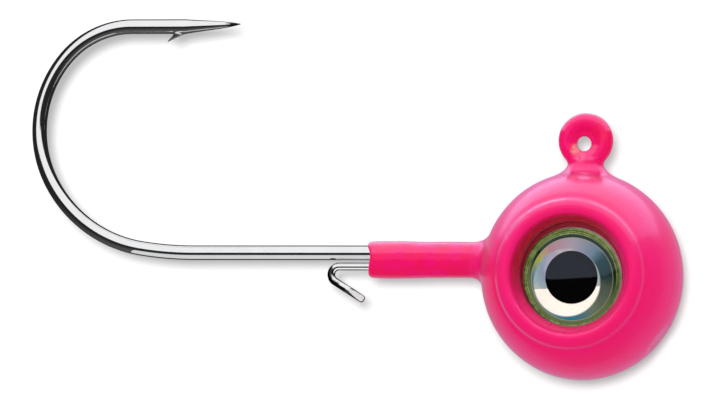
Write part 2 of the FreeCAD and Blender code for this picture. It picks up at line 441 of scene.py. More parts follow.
def surface_net(field, low, high, step):
    """Vertices and quads of the field's surface, one vertex in each cell that it crosses."""
    axes = [np.arange(a - MARGIN, b + MARGIN + step, step) for a, b in zip(low, high)]
    values = grid_values(field, axes, step)
    shape = tuple(n - 1 for n in values.shape)
    corners = cell_corners(values, shape)
    inside = sum((c < 0).astype(np.int8) for c in corners.values())
    crossed = (inside > 0) & (inside < len(corners))
    index = np.full(shape, -1)
    index[crossed] = np.arange(crossed.sum())
    cells = np.argwhere(crossed)
    total = np.zeros((len(cells), 3))
    count = np.zeros(len(cells))
    for a in corners:
        for axis in range(3):
            if a[axis]:
                continue
            b = tuple(1 if i == axis else a[i] for i in range(3))
            va, vb = corners[a][crossed].astype(float), corners[b][crossed].astype(float)
            hit = (va < 0) != (vb < 0)
            share = np.where(hit, va / np.where(hit, va - vb, 1), 0)
            point = np.tile(np.array(a, float), (len(cells), 1))
            point[:, axis] += share
            total[hit] += point[hit]
            count[hit] += 1
    origin = np.array([axis[0] for axis in axes])
    points = origin + (cells + total / count[:, None]) * step
    for _ in range(PASSES):
        normals = slope(field, points, step * 0.1)
        points -= normals * np.clip(field(points), -step, step)[:, None]
    quads = []
    for axis in range(3):
        quads.append(edge_quads(values < 0, index, axis))
    return points, np.concatenate(quads)


def edge_quads(solid, index, axis):
    """The quads round the grid edges along one axis that the surface crosses."""
    u, v = [(1, 2), (2, 0), (0, 1)][axis]
    near = np.take(solid, range(solid.shape[axis] - 1), axis)
    far = np.take(solid, range(1, solid.shape[axis]), axis)
    at = np.argwhere(near != far)
    keep = (at[:, u] > 0) & (at[:, v] > 0)
    keep &= (at[:, u] < solid.shape[u] - 1) & (at[:, v] < solid.shape[v] - 1)
    at = at[keep]
    leaving = near[tuple(at.T)]
    ring = []
    for du, dv in ((0, 0), (-1, 0), (-1, -1), (0, -1)):
        cell = at.copy()
        cell[:, u] += du
        cell[:, v] += dv
        ring.append(index[tuple(cell.T)])
    quads = np.stack(ring, axis=1)
    quads[~leaving] = quads[~leaving][:, ::-1]
    return quads


def mesh_object(name, points, faces, normals=None):
    """A smooth-shaded mesh object from points in millimetres."""
    mesh = bpy.data.meshes.new(name)
    mesh.from_pydata((points * MM).tolist(), [], faces)
    mesh.shade_smooth()
    if normals is not None:
        mesh.normals_split_custom_set_from_vertices(normals.tolist())
    mesh.update()
    piece = bpy.data.objects.new(name, mesh)
    bpy.context.scene.collection.objects.link(piece)
    return piece


def field_object(name, field, low, high, step, rough=None):
    """A mesh object of a field's surface; rough moves each vertex a little along its normal."""
    points, quads = surface_net(field, low, high, step)
    normals = slope(field, points, step * 0.2)
    if rough is None:
        return mesh_object(name, points, quads.tolist(), normals)
    points += normals * rough(points)[:, None]
    return mesh_object(name, points, quads.tolist())


def lathe(name, outline, centre, side, turns):
    """A closed turned piece round an axis along Y. The outline is (radius, depth) from axis to axis."""
    points = []
    faces = []
    ring_starts = []
    for radius, depth in outline:
        ring_starts.append(len(points))
        steps = 1 if radius == 0 else turns
        for i in range(steps):
            angle = 2 * math.pi * i / turns
            points.append((
                centre[0] + radius * math.cos(angle),
                side * depth,
                centre[1] + radius * math.sin(angle),
            ))
    for k in range(len(outline) - 1):
        a, b = ring_starts[k], ring_starts[k + 1]
        for i in range(turns):
            j = (i + 1) % turns
            if outline[k][0] == 0:
                face = [a, b + j, b + i]
            elif outline[k + 1][0] == 0:
                face = [a + i, a + j, b]
            else:
                face = [a + i, a + j, b + j, b + i]
            faces.append(face if side < 0 else face[::-1])
    return mesh_object(name, np.array(points), faces)


# ---------------------------------------------------------------- node helpers

def new_material(name):
    """A node material, its tree and its Principled shader."""
    material = bpy.data.materials.new(name)
    material.use_nodes = True
    tree = material.node_tree
    shader = tree.nodes["Principled BSDF"]
    return material, tree, shader


def add(tree, kind, **values):
    """A node with the given attributes; a name that isn't an attribute is an input."""
    node = tree.nodes.new(kind)
    for name, value in values.items():
        if hasattr(node, name):
            setattr(node, name, value)
        else:
            node.inputs[name].default_value = value
    return node


def fill(tree, socket, value):
    """Gives an input a value: a socket, a number or a plain colour."""
    if isinstance(value, bpy.types.NodeSocket):
        tree.links.new(value, socket)
    else:
        socket.default_value = (*value, 1) if isinstance(value, tuple) else value


def noise_at(tree, source, scale, detail=3.0, roughness=0.55, distortion=0.0):
    """A noise from 0 to 1, with about this many patches to a millimetre."""
    node = add(tree, "ShaderNodeTexNoise", Scale=scale, Detail=detail, Roughness=roughness,
               Distortion=distortion)
    tree.links.new(source, node.inputs["Vector"])
    return node.outputs["Fac"]


def millimetres(tree, offset=(0, 0, 0)):
    """The object's own coordinates in millimetres, from an optional origin."""
    place = add(tree, "ShaderNodeTexCoord")
    scaled = add(tree, "ShaderNodeVectorMath", operation="MULTIPLY_ADD")
    scaled.inputs[1].default_value = (1 / MM,) * 3
    scaled.inputs[2].default_value = [-c for c in offset]
    tree.links.new(place.outputs["Object"], scaled.inputs[0])
    return scaled.outputs["Vector"]


def ramp(tree, source, stops):
    """A colour ramp on a value. Stops are (position, colour)."""
    node = add(tree, "ShaderNodeValToRGB")
    while len(node.color_ramp.elements) < len(stops):
        node.color_ramp.elements.new(1.0)
    for element, (position, colour) in zip(node.color_ramp.elements, stops):
        element.position = position
        element.color = (*colour, 1)
    tree.links.new(source, node.inputs["Fac"])
    return node.outputs["Color"]


def span(tree, source, low, high, to_low, to_high, smooth=False):
    """Maps a value from one range to another, held at the ends."""
    node = add(tree, "ShaderNodeMapRange",
               interpolation_type="SMOOTHSTEP" if smooth else "LINEAR")
    for name, value in (("From Min", low), ("From Max", high), ("To Min", to_low), ("To Max", to_high)):
        node.inputs[name].default_value = value
    tree.links.new(source, node.inputs["Value"])
    return node.outputs["Result"]


def mask(tree, source, start, end):
    """Rises smoothly from nothing to one as the source goes from start to end."""
    return span(tree, source, start, end, 0.0, 1.0, smooth=True)


def blend_colour(tree, factor, a, b):
    """A mix of two colours, each a socket or a plain colour."""
    node = add(tree, "ShaderNodeMix", data_type="RGBA")
    for socket, value in ((node.inputs[0], factor), (node.inputs[6], a), (node.inputs[7], b)):
        fill(tree, socket, value)
    return node.outputs[2]


def maths(tree, operation, *values):
    """A Math node on sockets or numbers."""
    node = add(tree, "ShaderNodeMath", operation=operation)
    for socket, value in zip(node.inputs, values):
        fill(tree, socket, value)
    return node.outputs["Value"]


def product(tree, first, *others):
    """The product of some values."""
    for value in others:
        first = maths(tree, "MULTIPLY", first, value)
    return first


def weigh(tree, *parts):
    """The weighted sum of some values."""
    total = 0.0
    for value, weight in parts:
        total = maths(tree, "ADD", product(tree, value, weight), total)
    return total


def bump(tree, shader, height, distance, strength):
    """Drives the shader's normal from a height in the range 0 to 1, distance in millimetres."""
    node = add(tree, "ShaderNodeBump", Strength=strength, Distance=distance * MM)
    tree.links.new(height, node.inputs["Height"])
    tree.links.new(node.outputs["Normal"], shader.inputs["Normal"])


# ---------------------------------------------------------------- materials

HOOK_TINT = (0.92, 0.925, 0.94)
KEEPER_TINT = (0.94, 0.945, 0.95)
PLATING_ROUGHNESS = 0.04
# Near black: a painted dark reflection of the room on the keeper's wire
DARK_REFLECTION = (0.02, 0.02, 0.022)


def plated_wire(name, tint):
    """Bright nickel-plated wire: near mirror, faintly drawn, a few dull spots. Returns its nodes."""
    material, tree, shader = new_material(name)
    place = millimetres(tree)
    broad = noise_at(tree, place, 0.9, detail=2.0)
    fine = noise_at(tree, place, 14.0, detail=4.0)
    shader.inputs["Metallic"].default_value = 1.0
    colour = ramp(tree, broad, (
        (0.30, tuple(c * 0.97 for c in tint)),
        (0.70, tuple(min(c * 1.02, 1) for c in tint)),
    ))
    rough = span(tree, fine, 0.35, 0.75, PLATING_ROUGHNESS, PLATING_ROUGHNESS * 2.2)
    bump(tree, shader, fine, 0.0012, 0.5)
    return material, tree, shader, colour, rough


def mix_value(tree, factor, a, b):
    """A mix of two numbers or sockets."""
    node = add(tree, "ShaderNodeMix", data_type="FLOAT")
    for socket, value in zip((node.inputs[0], node.inputs[2], node.inputs[3]), (factor, a, b)):
        fill(tree, socket, value)
    return node.outputs[0]


def along(tree, direction, origin):
    """How far a point lies from an origin in a direction, in millimetres."""
    node = add(tree, "ShaderNodeVectorMath", operation="DOT_PRODUCT")
    node.inputs[1].default_value = [float(c) for c in direction]
    tree.links.new(millimetres(tree, [float(c) for c in origin]), node.inputs[0])
    return node.outputs["Value"]


def distance_from(tree, origin):
    """How far a point lies from an origin, in millimetres."""
    node = add(tree, "ShaderNodeVectorMath", operation="LENGTH")
    tree.links.new(millimetres(tree, [float(c) for c in origin]), node.inputs[0])
    return node.outputs["Value"]


def hook_plating(tip):
    """Hook plating, darkened at the chemically sharpened needle tip."""
    material, tree, shader, colour, rough = plated_wire("hook_plating", HOOK_TINT)
    smudge = noise_at(tree, millimetres(tree), 5.0)
    ragged = product(tree, smudge, 0.4)
    far = maths(tree, "SUBTRACT", distance_from(tree, tip), ragged)
    dark = span(tree, far, 0.35, 0.85, 1.0, 0.0, smooth=True)
    tree.links.new(blend_colour(tree, dark, colour, (0.03, 0.03, 0.034)), shader.inputs["Base Color"])
    tree.links.new(mix_value(tree, dark, rough, 0.28), shader.inputs["Roughness"])
    return material


def keeper_dark_reflections(tree, wire, tip, arm):
    """Where dark reflections of the room are painted on the keeper: outside its tight bend and under its
    arm.
    """
    ragged = product(tree, noise_at(tree, millimetres(tree), 4.0, distortion=0.5), 0.16)
    under = in_plane(heading(wire.degrees - 90))
    low_side = mask(tree, maths(tree, "ADD", along(tree, under, tip), ragged), 0.03, 0.13)
    up_the_arm = mask(tree, along(tree, arm, tip), -0.75, -1.15)
    bend_middle = tip - arm * KEEPER_ARM - under * KEEPER_BEND
    outside = mask(tree, maths(tree, "ADD", distance_from(tree, bend_middle), ragged), 0.52, 0.64)
    rear = mask(tree, along(tree, (-1, 0, -0.4), bend_middle), 0.10, 0.30)
    most = maths(tree, "MAXIMUM", product(tree, low_side, up_the_arm), product(tree, outside, rear))
    return product(tree, most, 0.96)


def keeper_plating():
    """Keeper plating: painted dark reflections round the tight bend, under the arm and at the ground
    flat's edge; bare dull steel where the flat is ground.
    """
    material, tree, shader, colour, rough = plated_wire("keeper_plating", KEEPER_TINT)
    wire, tip, arm, facing = keeper_wire()
    grain = noise_at(tree, millimetres(tree), 18.0, detail=4.0)
    # Painted dark reflections under the arm and outside the bend
    colour = blend_colour(tree, keeper_dark_reflections(tree, wire, tip, arm), colour, DARK_REFLECTION)
    near_tip = span(tree, distance_from(tree, tip), 1.7, 1.8, 1.0, 0.0)
    depth = along(tree, facing, tip)
    beside_flat = mask(tree, along(tree, arm, tip), -1.20, -0.95)
    # A painted dark reflection along the edge where the flat is ground
    edge_reflection = product(tree, span(tree, depth, -0.16, -0.08, 0.0, 0.97), beside_flat, near_tip)
    colour = blend_colour(tree, edge_reflection, colour, DARK_REFLECTION)
    ground = product(tree, span(tree, depth, -0.022, -0.012, 0.0, 1.0), near_tip)
    steel = ramp(tree, grain, ((0.3, (0.72, 0.73, 0.75)), (0.7, (0.86, 0.87, 0.88))))
    tree.links.new(blend_colour(tree, ground, colour, steel), shader.inputs["Base Color"])
    tree.links.new(mix_value(tree, ground, rough, 0.55), shader.inputs["Roughness"])
    tree.links.new(mix_value(tree, ground, 1.0, 0.35), shader.inputs["Metallic"])
    return material


def pink_paint():
    """Baked fluorescent pink paint, with painted shade that darkens the sockets' walls to a deep red; thin
    and glossy on the wires.
    """
    material, tree, shader = new_material("pink_paint")
    place = millimetres(tree)
    broad = noise_at(tree, place, 0.22, detail=2.0)
    mottle = noise_at(tree, place, 0.9, distortion=0.6)
    peel = noise_at(tree, place, 2.6, detail=2.0, roughness=0.4)
    nibs = noise_at(tree, place, 9.0, detail=5.0)
    split = add(tree, "ShaderNodeSeparateXYZ")
    tree.links.new(millimetres(tree, (BALL_X, 0, BALL_Z)), split.inputs[0])
    x, y, z = split.outputs["X"], split.outputs["Y"], split.outputs["Z"]
    radial = length_of(tree, x, z)
    colour = ramp(tree, broad, (
        (0.30, (0.86, 0.003, 0.124)),
        (0.50, (0.86, 0.002, 0.146)),
        (0.72, (0.86, 0.003, 0.170)),
    ))
    thin = mask(tree, radial, 6.7, 7.3)
    redder = product(tree, thin, span(tree, mottle, 0.42, 0.62, 0.0, 0.55, smooth=True))
    colour = blend_colour(tree, redder, colour, (0.84, 0.004, 0.065))
    speck = span(tree, nibs, 0.68, 0.76, 0.0, 0.5)
    colour = blend_colour(tree, speck, colour, (0.84, 0.03, 0.22))
    # Painted shade: the sockets' walls turn deep red, most on their upper left, where the recess lies in
    # shade.
    socket_shade = mask(tree, radial, 3.78, 3.46)
    socket_shade = product(tree, socket_shade, span(tree, maths(tree, "ABSOLUTE", y), 2.9, 3.0, 0.0, 1.0))
    upper = span(tree, weigh(tree, (x, -0.5), (z, 0.85)), -1.0, 2.4, 0.05, 0.92, smooth=True)
    colour = blend_colour(tree, product(tree, socket_shade, upper), colour, (0.46, 0.004, 0.022))
    hole = (-BALL_X, -BALL_Z)
    # A pale cream patch at the lower left of the line tie's hole
    pale_patch = spot(tree, x, z, (hole[0] - 0.50, hole[1] - 0.36), (0.26, 0.34), 0.9)
    pale_patch = product(tree, pale_patch, span(tree, nibs, 0.35, 0.65, 0.1, 0.8))
    colour = blend_colour(tree, pale_patch, colour, (0.84, 0.36, 0.24))
    rubbed = spot(tree, x, z, (hole[0] - 0.12, hole[1] - 0.85), (0.30, 0.34), 0.8)
    rubbed = product(tree, rubbed, span(tree, nibs, 0.4, 0.6, 0.1, 0.7))
    colour = blend_colour(tree, rubbed, colour, (0.86, 0.14, 0.28))
    tree.links.new(colour, shader.inputs["Base Color"])
    thick_rough = span(tree, nibs, 0.3, 0.75, 0.27, 0.37)
    thin_rough = span(tree, nibs, 0.3, 0.75, 0.13, 0.24)
    tree.links.new(mix_value(tree, thin, thick_rough, thin_rough), shader.inputs["Roughness"])
    shader.inputs["IOR"].default_value = 1.5
    shader.inputs["Specular IOR Level"].default_value = 0.20
    shader.inputs["Sheen Weight"].default_value = 0.12
    shader.inputs["Sheen Roughness"].default_value = 0.30
    shader.inputs["Sheen Tint"].default_value = (1.0, 0.88, 1.0, 1)
    shader.inputs["Coat Weight"].default_value = 0.10
    shader.inputs["Coat Roughness"].default_value = 0.12
    height = weigh(tree, (peel, 0.8), (nibs, 0.2), (gate_scar(tree), 5.0))
    bump(tree, shader, height, 0.018, 0.6)
    return material


def length_of(tree, a, b):
    """The length of a flat vector."""
    squares = weigh(tree, (product(tree, a, a), 1), (product(tree, b, b), 1))
    return maths(tree, "SQRT", squares)


def gate_scar(tree):
    """A raised line round the flat where the casting was broken off its gate."""
    gate = heading(GATE_ANGLE)
    middle = (BALL_X, 0, BALL_Z)
    out = along(tree, (gate[0], 0, gate[1]), middle)
    side = along(tree, (-gate[1], 0, gate[0]), middle)
    deep = along(tree, (0, 1, 0), middle)
    off = maths(tree, "ABSOLUTE", maths(tree, "SUBTRACT", length_of(tree, side, deep), GATE))
    line = span(tree, off, 0.0, 0.09, 1.0, 0.0, smooth=True)
    return product(tree, line, span(tree, out, 5.2, 5.6, 0.0, 1.0))


def lens_resin():
    """Clear cast resin. Lamps shine through it, so that the foil below is lit."""
    material, tree, shader = new_material("lens_resin")
    shader.inputs["Base Color"].default_value = (0.97, 0.985, 0.98, 1)
    shader.inputs["Transmission Weight"].default_value = 1.0
    shader.inputs["IOR"].default_value = 1.5
    shader.inputs["Specular Tint"].default_value = (0.70, 0.80, 1.0, 1)
    place = millimetres(tree)
    waves = noise_at(tree, place, 1.2, detail=1.0)
    tree.links.new(span(tree, waves, 0.3, 0.7, 0.0, 0.012), shader.inputs["Roughness"])
    bump(tree, shader, waves, 0.004, 0.3)
    path = add(tree, "ShaderNodeLightPath")
    clear = add(tree, "ShaderNodeBsdfTransparent")
    mixed = add(tree, "ShaderNodeMixShader")
    tree.links.new(path.outputs["Is Shadow Ray"], mixed.inputs["Fac"])
    tree.links.new(shader.outputs[0], mixed.inputs[1])
    tree.links.new(clear.outputs[0], mixed.inputs[2])
    tree.links.new(mixed.outputs[0], tree.nodes["Material Output"].inputs["Surface"])
    return material


def spot(tree, x, z, centre, size, edge):
    """A soft-edged oval mask: one inside, nothing outside."""
    off_x = maths(tree, "DIVIDE", maths(tree, "SUBTRACT", x, centre[0]), size[0])
    off_z = maths(tree, "DIVIDE", maths(tree, "SUBTRACT", z, centre[1]), size[1])
    far = maths(tree, "ADD", product(tree, off_x, off_x), product(tree, off_z, off_z))
    return mask(tree, far, 1 + edge, 1 - edge)


TURNS_PER_RADIAN = 0.159155
GOLD_LINE = 2.42


def eye_foil(centre):
    """Holographic foil: silver iris that breaks light into colours, cream below as a painted reflection,
    with a dark-edged olive ring.
    """
    material, tree, shader = new_material("eye_foil")
    place = millimetres(tree, centre)
    split = add(tree, "ShaderNodeSeparateXYZ")
    tree.links.new(place, split.inputs[0])
    x, z = split.outputs["X"], split.outputs["Z"]
    radius = length_of(tree, x, z)
    angle = maths(tree, "ARCTAN2", z, x)
    swirl = noise_at(tree, place, 0.55, detail=2.0, distortion=0.8)
    streak = noise_at(tree, place, 2.4, detail=2.0, distortion=1.2)
    hue = maths(tree, "FRACT", weigh(tree, (swirl, 1.3), (angle, TURNS_PER_RADIAN), (radius, 0.5)))
    inner = ramp(tree, hue, (
        (0.00, (0.26, 0.36, 0.43)),
        (0.25, (0.30, 0.42, 0.46)),
        (0.45, (0.46, 0.48, 0.46)),
        (0.62, (0.44, 0.38, 0.46)),
        (0.82, (0.25, 0.29, 0.42)),
        (1.00, (0.26, 0.36, 0.43)),
    ))
    # Painted reflection: the iris's lower part turns cream, as the foil would mirror the white tent above.
    lit = maths(tree, "ADD", maths(tree, "SUBTRACT", -0.58, z), product(tree, x, 0.05))
    lit = maths(tree, "ADD", lit, product(tree, streak, 0.06))
    inner = blend_colour(tree, mask(tree, lit, 0.0, 0.06), inner, (1.0, 0.96, 0.86))
    turn = maths(tree, "ADD", product(tree, angle, TURNS_PER_RADIAN), 0.5)
    turn = maths(tree, "ADD", turn, product(tree, streak, 0.03))
    outer = ramp(tree, turn, (
        (0.00, (0.08, 0.16, 0.24)),
        (0.14, (0.10, 0.20, 0.22)),
        (0.26, (0.02, 0.17, 0.28)),
        (0.36, (0.13, 0.17, 0.12)),
        (0.47, (0.07, 0.09, 0.07)),
        (0.53, (0.008, 0.03, 0.035)),
        (0.60, (0.012, 0.05, 0.06)),
        (0.65, (0.12, 0.20, 0.28)),
        (0.76, (0.34, 0.30, 0.36)),
        (0.87, (0.42, 0.20, 0.25)),
        (0.94, (0.36, 0.40, 0.06)),
        (1.00, (0.10, 0.20, 0.26)),
    ))
    off = maths(tree, "SQRT", weigh(tree, (maths(tree, "POWER", maths(tree, "ADD", x, 0.29), 2.0), 1),
                                    (maths(tree, "POWER", maths(tree, "ADD", z, 0.31), 2.0), 1)))
    iris = blend_colour(tree, mask(tree, off, 1.90, 2.02), inner, outer)
    top = mask(tree, weigh(tree, (x, 0.3), (z, 1)), -1.2, 1.0)
    band = blend_colour(tree, top, (0.12, 0.16, 0.07), (0.003, 0.018, 0.012))
    grooves = maths(tree, "SINE", product(tree, radius, 52.0))
    ring = ramp(tree, maths(tree, "ADD", product(tree, grooves, 0.22), streak), (
        (0.20, (0.03, 0.06, 0.012)),
        (0.50, (0.12, 0.18, 0.035)),
        (0.80, (0.34, 0.38, 0.14)),
    ))
    inset = length_of(tree, maths(tree, "SUBTRACT", x, 0.03), maths(tree, "ADD", z, 0.12))
    off_gold = maths(tree, "ABSOLUTE", maths(tree, "SUBTRACT", inset, GOLD_LINE))
    gold = span(tree, off_gold, 0.0, 0.03, 0.8, 0.0, smooth=True)
    tone = blend_colour(tree, mask(tree, inset, GOLD_LINE, 2.46), iris, band)
    tone = blend_colour(tree, gold, tone, (0.45, 0.42, 0.16))
    tone = blend_colour(tree, mask(tree, inset, 2.60, 2.68), tone, ring)
    tone = blend_colour(tree, mask(tree, radius, 2.86, 2.92), tone, (0.10, 0.14, 0.05))
    tree.links.new(tone, shader.inputs["Base Color"])
    shader.inputs["Metallic"].default_value = 0.15
    shader.inputs["Specular IOR Level"].default_value = 0.0
    fine = noise_at(tree, place, 30.0, detail=2.0)
    tree.links.new(span(tree, fine, 0.3, 0.7, 0.20, 0.32), shader.inputs["Roughness"])
    bump(tree, shader, fine, 0.002, 0.4)
    return material


def pupil_ink():
    """Black ink, printed on the foil."""
    material, tree, shader = new_material("pupil_ink")
    grain = noise_at(tree, millimetres(tree), 22.0)
    ink = ramp(tree, grain, ((0.3, (0.0008, 0.0008, 0.001)), (0.8, (0.0022, 0.0022, 0.0028))))
    tree.links.new(ink, shader.inputs["Base Color"])
    tree.links.new(span(tree, grain, 0.3, 0.7, 0.35, 0.5), shader.inputs["Roughness"])
    shader.inputs["Specular IOR Level"].default_value = 0.0
    return material


def adhesive():
    """Slightly yellowed adhesive."""
    material, tree, shader = new_material("eye_adhesive")
    place = millimetres(tree)
    cloud = noise_at(tree, place, 1.4, detail=4.0)
    tree.links.new(ramp(tree, cloud, ((0.3, (0.62, 0.50, 0.46)), (0.7, (0.80, 0.72, 0.66)))),
                   shader.inputs["Base Color"])
    tree.links.new(span(tree, cloud, 0.3, 0.7, 0.25, 0.45), shader.inputs["Roughness"])
    bump(tree, shader, cloud, 0.02, 0.5)
    return material


def cast_lead():
    """Dull grey cast lead alloy with pits, hidden under the paint."""
    material, tree, shader = new_material("cast_lead")
    place = millimetres(tree)
    cloud = noise_at(tree, place, 1.1, detail=5.0)
    pits = noise_at(tree, place, 7.0)
    shader.inputs["Metallic"].default_value = 0.85
    tree.links.new(ramp(tree, cloud, ((0.3, (0.20, 0.21, 0.23)), (0.7, (0.38, 0.39, 0.41)))),
                   shader.inputs["Base Color"])
    tree.links.new(span(tree, pits, 0.3, 0.7, 0.45, 0.7), shader.inputs["Roughness"])
    bump(tree, shader, pits, 0.03, 0.6)
    return material


# ---------------------------------------------------------------- pieces

def finish_piece(piece, node, material):
    """Puts a piece in the place of its CAD node."""
    piece.data.materials.append(material)
    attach(piece, "root")
    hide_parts(node)
    return piece


def lumps(points):
    """How far the paint stands proud or low at each point: broad on the collar, slight elsewhere."""
    out = np.empty(len(points))
    for i, point in enumerate(points):
        place = Vector(point)
        on_collar = max(0.0, min(1.0, (BALL_X - 6.5 - place.x) / 1.5))
        on_loop = max(0.0, min(1.0, (place.z - BALL_Z - 6.2) / 0.8))
        broad = noise.noise(place * 0.9) * (0.006 + 0.022 * on_collar + 0.020 * on_loop)
        fine = noise.noise(place * 3.1) * (0.002 + 0.006 * on_collar + 0.006 * on_loop)
        out[i] = broad + fine
    return out


def make_hook():
    """The hook, from the line tie's ring to the point."""
    wire, leg_end = hook_wire()
    tip = leg_end + heading(wire.degrees + POINT_RISE) * POINT_LENGTH
    piece = field_object("hook_body", hook_field(), HOOK_LOW, HOOK_HIGH, HOOK_STEP)
    return finish_piece(piece, "hook", hook_plating(in_plane(tip)))


def make_keeper():
    """The bait keeper."""
    piece = field_object("bait_keeper", keeper_field(), KEEPER_LOW, KEEPER_HIGH, KEEPER_STEP)
    return finish_piece(piece, "keeper_wire", keeper_plating())


def make_coat():
    """The paint, which the wires beside it don't mirror."""
    piece = field_object("painted_head", coat_field, COAT_LOW - COAT_ROOM, COAT_HIGH, COAT_STEP, lumps)
    piece.visible_glossy = False
    return finish_piece(piece, "colour_coat", pink_paint())


def make_casting():
    """The lead under the paint, with the hook's wire cast into it."""
    wire = hook_field()

    def field(p):
        return np.maximum(coat_field(p) + COAT, -wire(p))

    piece = field_object("lead_head", field, COAT_LOW, COAT_HIGH, CASTING_STEP)
    return finish_piece(piece, "head_casting", cast_lead())


def arc_outline(radius, edge_depth, rise, steps):
    """Points of a dome from its edge to its top."""
    sphere = (radius**2 + rise**2) / (2 * rise)
    half = math.asin(radius / sphere)
    return [
        (sphere * math.sin(half * (1 - i / steps)),
         edge_depth + rise - sphere * (1 - math.cos(half * (1 - i / steps))))
        for i in range(1, steps)
    ] + [(0, edge_depth + rise)]


def depths(node):
    """How far a node's inner and outer faces lie from the middle plane."""
    return sorted(abs(corner[1]) for corner in box_mm(node))


def radius_of(node):
    """Half of a node's width."""
    low, high = box_mm(node)
    return (high[0] - low[0]) / 2


def middle_of(node):
    """The middle (x, z) of a node."""
    low, high = box_mm(node)
    return (low[0] + high[0]) / 2, (low[2] + high[2]) / 2


def make_lens(eye, side, centre, radius):
    """The clear dome, hollow at its back so that it sits over the pupil and the foil."""
    near, far = depths(eye + "_eye_lens")
    edge = far - DOME_RISE
    over_pupil = depths(eye + "_eye_pupil")[1] - CONTACT
    over_foil = depths(eye + "_eye_foil")[1] - CONTACT
    inner = radius_of(eye + "_eye_pupil") - CONTACT
    outline = [(0, over_pupil), (inner, over_pupil), (inner, over_foil),
               (radius - 0.04, over_foil), (radius, over_foil + 0.04)]
    outline += [(radius, near + (edge - near) * k / 4) for k in (1, 2, 3)]
    outline += [(radius, edge - 0.03), (radius - 0.015, edge - 0.005)]
    outline += arc_outline(radius, edge, DOME_RISE, 28)
    return lathe(eye + "_lens_dome", outline, centre, side, EYE_TURNS)


def make_foil(eye, side, centre, radius):
    """The printed foil."""
    low, high = depths(eye + "_eye_foil")
    edge = radius - 0.02
    outline = [(0, low), (edge, low), (edge, high)]
    outline += [(edge * (1 - k / 12), high) for k in range(1, 12)] + [(0, high)]
    return lathe(eye + "_foil_disc", outline, centre, side, EYE_TURNS)


def make_pupil(eye, side, centre):
    """The black pupil."""
    low, high = depths(eye + "_eye_pupil")
    radius = radius_of(eye + "_eye_pupil")
    outline = [(0, low), (radius, low), (radius, high - 0.01),
               (radius - 0.01, high), (radius * 0.5, high), (0, high)]
    return lathe(eye + "_pupil_disc", outline, centre, side, PUPIL_TURNS)


def make_adhesive(eye, side, centre, radius):
    """The adhesive, squeezed out in a bead round the lens."""
    low, high = depths(eye + "_eye_adhesive")
    bead = radius + 0.07
    outline = [(0, low), (bead, low), (bead + 0.02, low + 0.03), (bead, high),
               (radius + 0.02, high + 0.05), (radius - 0.01, high + 0.03),
               (radius - 0.03, high), (0, high)]
    return lathe(eye + "_adhesive_disc", outline, centre, side, EYE_TURNS)


def make_eye(eye, side, materials):
    """One eye: lens, foil, pupil and adhesive, where the CAD puts them."""
    lens, foil, ink, glue = materials
    centre = middle_of(eye + "_eye_lens")
    radius = radius_of(eye + "_eye_lens")
    finish_piece(make_lens(eye, side, centre, radius), eye + "_eye_lens", lens)
    disc = make_foil(eye, side, centre, radius)
    finish_piece(disc, eye + "_eye_foil", foil)
    finish_piece(make_pupil(eye, side, centre), eye + "_eye_pupil", ink)
    finish_piece(make_adhesive(eye, side, centre, radius), eye + "_eye_adhesive", glue)
    return disc


# How near the lens comes to the foil, the room for the paint's lumps, and the mesh steps
CONTACT = 0.002
COAT_ROOM = 0.4
DOME_RISE = 0.85
EYE_TURNS = 128
PUPIL_TURNS = 96
HOOK_STEP = 0.05
KEEPER_STEP = 0.03
COAT_STEP = 0.09
CASTING_STEP = 0.16

HOOK = make_hook()
KEEPER_PIECE = make_keeper()
make_casting()
PAINTED = make_coat()
EYE_X, EYE_Z = middle_of("right_eye_lens")
EYE_MATERIALS = lens_resin(), eye_foil((EYE_X, 0, EYE_Z)), pupil_ink(), adhesive()
FOILS = []
for eye, eye_side in (("right", -1), ("left", 1)):
    FOILS.append(make_eye(eye, eye_side, EYE_MATERIALS))


# ---------------------------------------------------------------- camera, light and backdrop

AZIMUTH = math.radians(11.5)
ELEVATION = math.radians(-2.0)
TO_CAMERA = Vector((math.sin(AZIMUTH) * math.cos(ELEVATION),
                    -math.cos(AZIMUTH) * math.cos(ELEVATION),
                    math.sin(ELEVATION)))
# The camera is rolled a little so that the shank lies level in the picture
RIGHT = (Vector((1, 0, 0)) - TO_CAMERA * TO_CAMERA.x).normalized()
UP = TO_CAMERA.cross(RIGHT)
# The width the picture takes in, how far its middle lies left of and above the ball's centre,
# and the lens and the sensor, in millimetres
FRAME_WIDTH = 44.09
FRAME_LEFT = 13.61
FRAME_RISE = 4.49
LENS = 800
SENSOR = 36


def make_camera():
    """A long lens, as the photographer's, aimed so that the part fills the frame."""
    ball = Vector((BALL_X, 0, BALL_Z))
    target = ball - RIGHT * FRAME_LEFT + UP * FRAME_RISE
    data = bpy.data.cameras.new("camera")
    data.lens = LENS
    data.sensor_width = SENSOR
    distance = FRAME_WIDTH * LENS / SENSOR
    data.clip_start = 0.01
    data.clip_end = 10
    camera = bpy.data.objects.new("camera", data)
    camera.location = (target + TO_CAMERA * distance) * MM
    axes = Matrix((RIGHT, UP, TO_CAMERA)).transposed()
    camera.rotation_mode = "QUATERNION"
    camera.rotation_quaternion = axes.to_quaternion()
    bpy.context.scene.collection.objects.link(camera)
    bpy.context.scene.camera = camera


def direction_part(tree, source, axis):
    """How far the ray's direction points along an axis."""
    node = add(tree, "ShaderNodeVectorMath", operation="DOT_PRODUCT")
    node.inputs[1].default_value = axis
    tree.links.new(source, node.inputs[0])
    return node.outputs["Value"]


TENT_WHITE = 0.92
ROOM_DARK = 0.018


